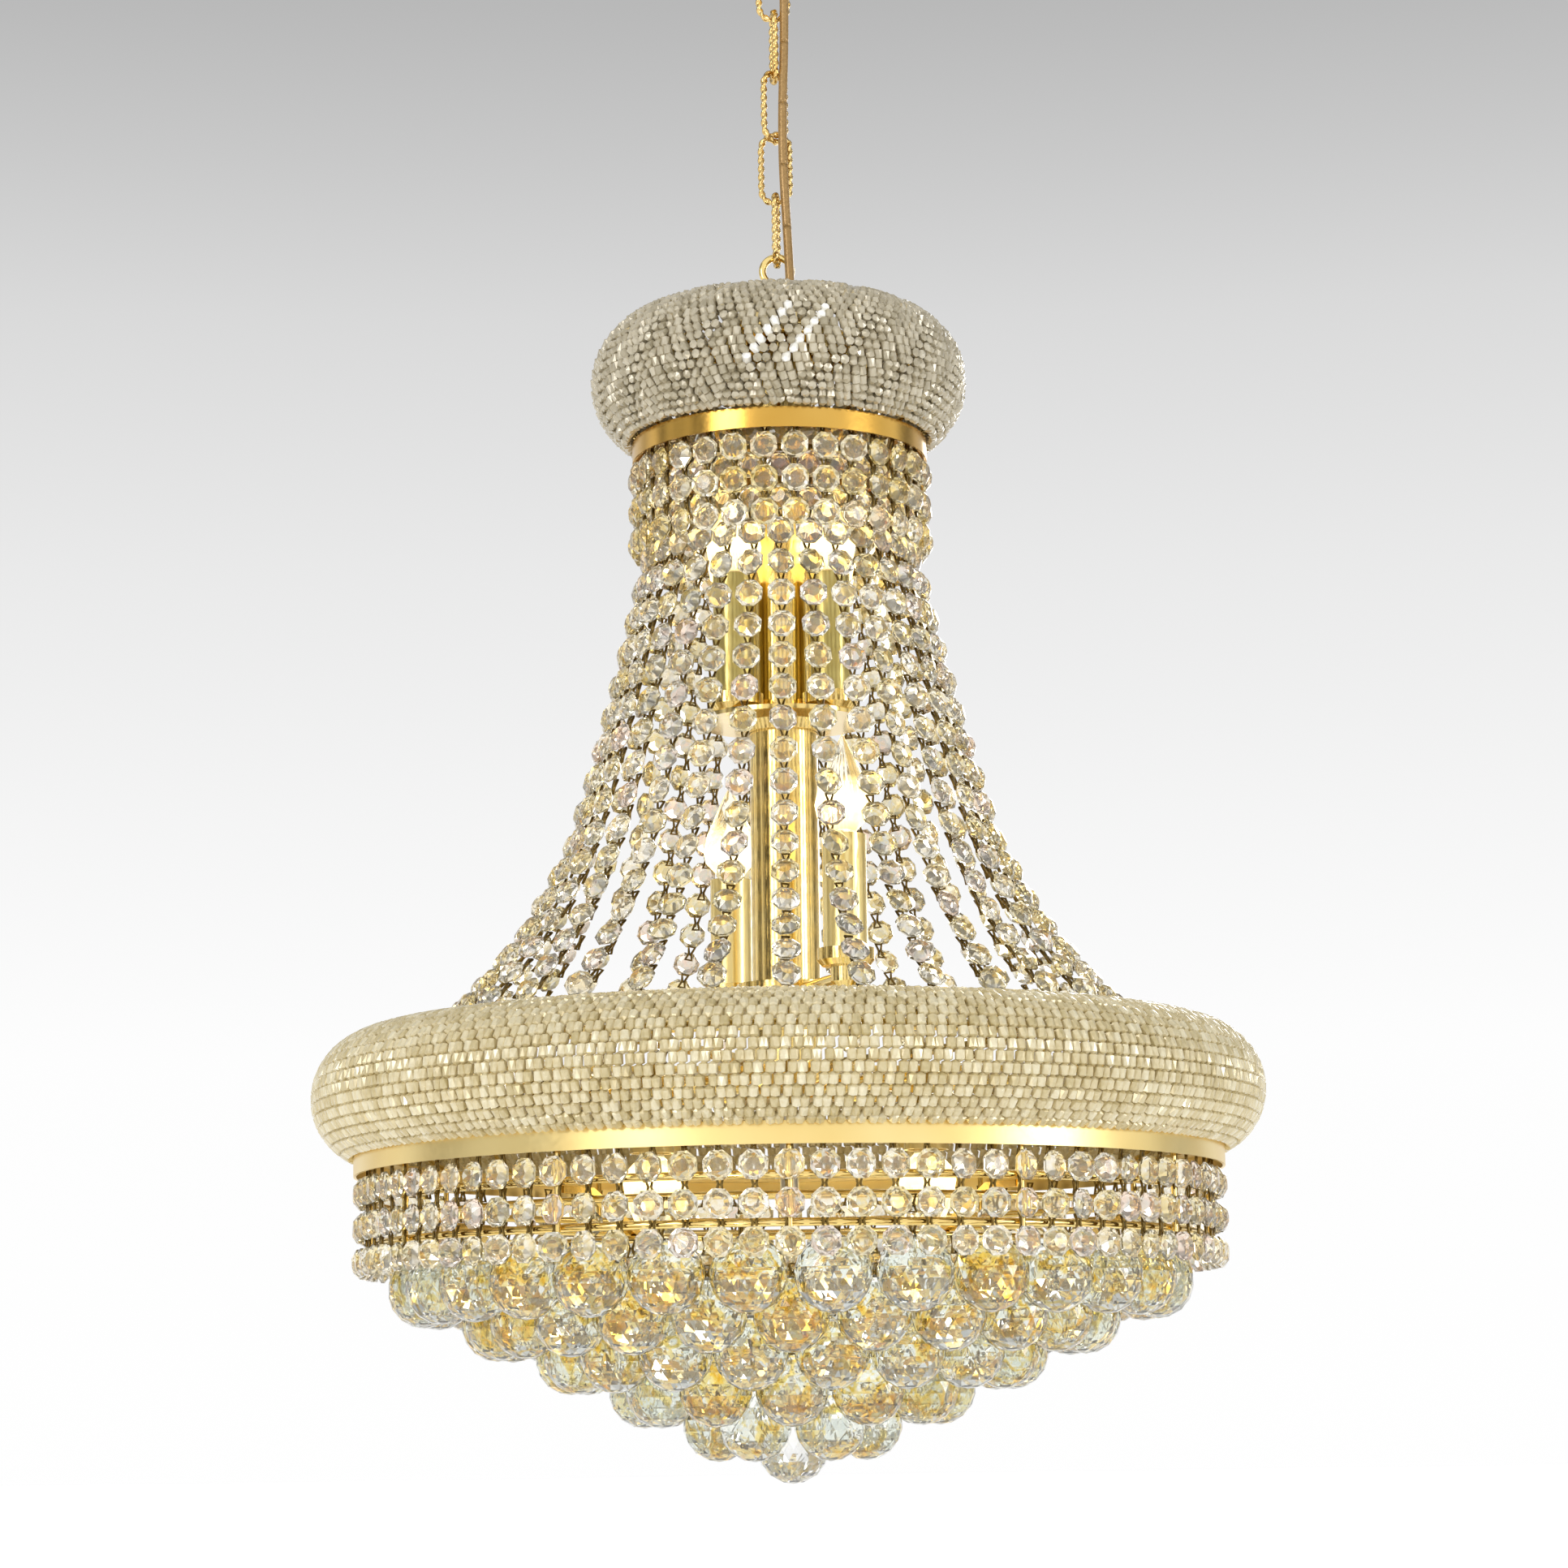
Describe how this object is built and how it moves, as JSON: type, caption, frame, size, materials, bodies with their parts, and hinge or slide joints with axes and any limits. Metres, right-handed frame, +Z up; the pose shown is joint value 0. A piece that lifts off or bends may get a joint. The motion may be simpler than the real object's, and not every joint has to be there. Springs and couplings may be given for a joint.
{
  "type": "crystal chandelier",
  "caption": "Basket chandelier of crystal strands between a beaded crown and a large beaded ring, with tiers of faceted balls below, on a link chain with canopy.",
  "frame": {"origin": "centre of the two ceiling screw slots, in the plane of the ceiling", "axes": "+Z up, into the ceiling; the chandelier hangs to -Z; -Y faces the viewer of the reference view"},
  "size_m": [0.5079, 0.508, 0.913],
  "materials": {
    "polished_gold": "polished",
    "zinc_steel": "satin",
    "earth_screw_green": "satin",
    "gold_cord": "gloss",
    "lead_insulation": "gloss",
    "crystal_octagons": "polished",
    "crystal_balls": "polished",
    "small_beads": "polished",
    "ivory_sleeve": "matte",
    "socket_black": "matte",
    "bulb_glass": "polished"
  },
  "bodies": {
    "ceiling_fixing": {"ceiling_crossbar": "zinc_steel", "threaded_nipple": "zinc_steel", "nipple_locknuts": "zinc_steel", "ground_screw": "earth_screw_green", "collar_loop": "polished_gold", "power_cord": "gold_cord"},
    "canopy_cup": {"canopy": "polished_gold"},
    "collar_nut": {"collar_ring": "polished_gold"},
    "link_5": {"chain_link_5": "polished_gold"},
    "link_4": {"chain_link_4": "polished_gold"},
    "link_3": {"chain_link_3": "polished_gold"},
    "link_2": {"chain_link_2": "polished_gold"},
    "link_1": {"chain_link_1": "polished_gold"},
    "chandelier": {"ball_frame": "polished_gold", "ball_hangers": "crystal_octagons", "ball_rings": "polished_gold", "ball_tier_1": "crystal_balls", "ball_tier_2": "crystal_balls", "ball_tier_3": "crystal_balls", "ball_tier_4": "crystal_balls", "ball_tier_5": "crystal_balls", "basket_lower_ring": "polished_gold", "basket_middle_ring": "polished_gold", "basket_posts": "polished_gold", "basket_strands": "crystal_octagons", "bottom_ball": "crystal_balls", "central_tube": "polished_gold", "centre_rod": "zinc_steel", "crown_bead_wrap": "small_beads", "crown_cap": "polished_gold", "crown_loop": "polished_gold", "crown_top_ring": "polished_gold", "crown_wire_ribs": "polished_gold", "finial_nut": "polished_gold", "lamp_leads": "lead_insulation", "lower_bulbs": "bulb_glass", "lower_cups": "polished_gold", "lower_lamp_arms": "polished_gold", "lower_sleeves": "ivory_sleeve", "lower_sockets": "socket_black", "middle_bulbs": "bulb_glass", "middle_cups": "polished_gold", "middle_lamp_arms": "polished_gold", "middle_sleeves": "ivory_sleeve", "middle_sockets": "socket_black", "neck_ring": "polished_gold", "neck_spider": "polished_gold", "neck_strands": "crystal_octagons", "ring_bead_wrap": "small_beads", "ring_bottom_band": "polished_gold", "ring_spider": "polished_gold", "ring_top_ring": "polished_gold", "ring_wire_ribs": "polished_gold", "swag_strands": "crystal_octagons", "upper_bulbs": "bulb_glass", "upper_cups": "polished_gold", "upper_lamp_plate": "polished_gold", "upper_sleeves": "ivory_sleeve", "upper_sockets": "socket_black"}
  },
  "joints": [
    {"name": "canopy_drop", "type": "slide", "parent": "ceiling_fixing", "child": "canopy_cup", "axis": [0, 0, 1], "range_m": [-0.04, 0]},
    {"name": "collar_ring_turn", "type": "hinge", "parent": "canopy_cup", "child": "collar_nut", "pos_m": [0, 0, -0.036], "axis": [0, 0, 1], "continuous": true},
    {"name": "link_5_swing", "type": "hinge", "parent": "ceiling_fixing", "child": "link_5", "pos_m": [0, 0, -0.06875], "axis": [0, 1, 0], "range_deg": [-8, 8], "deforming": ["power_cord"]},
    {"name": "link_4_swing", "type": "hinge", "parent": "link_5", "child": "link_4", "pos_m": [0, 0, -0.1042], "axis": [0.9945, 0.1045, 0], "range_deg": [-8, 8], "deforming": ["power_cord"]},
    {"name": "link_3_swing", "type": "hinge", "parent": "link_4", "child": "link_3", "pos_m": [0, 0, -0.1399], "axis": [-0.1045, 0.9945, 0], "range_deg": [-8, 8], "deforming": ["power_cord"]},
    {"name": "link_2_swing", "type": "hinge", "parent": "link_3", "child": "link_2", "pos_m": [0, 0, -0.1756], "axis": [0.7314, 0.682, 0], "range_deg": [-8, 8], "deforming": ["power_cord"]},
    {"name": "link_1_swing", "type": "hinge", "parent": "link_2", "child": "link_1", "pos_m": [0, 0, -0.2113], "axis": [0.9877, -0.1564, 0], "range_deg": [-8, 8], "deforming": ["power_cord"]},
    {"name": "chandelier_swing", "type": "hinge", "parent": "link_1", "child": "chandelier", "pos_m": [0, 0, -0.247], "axis": [0.0872, 0.9962, 0], "range_deg": [-8, 8], "deforming": ["power_cord"]}
  ]
}
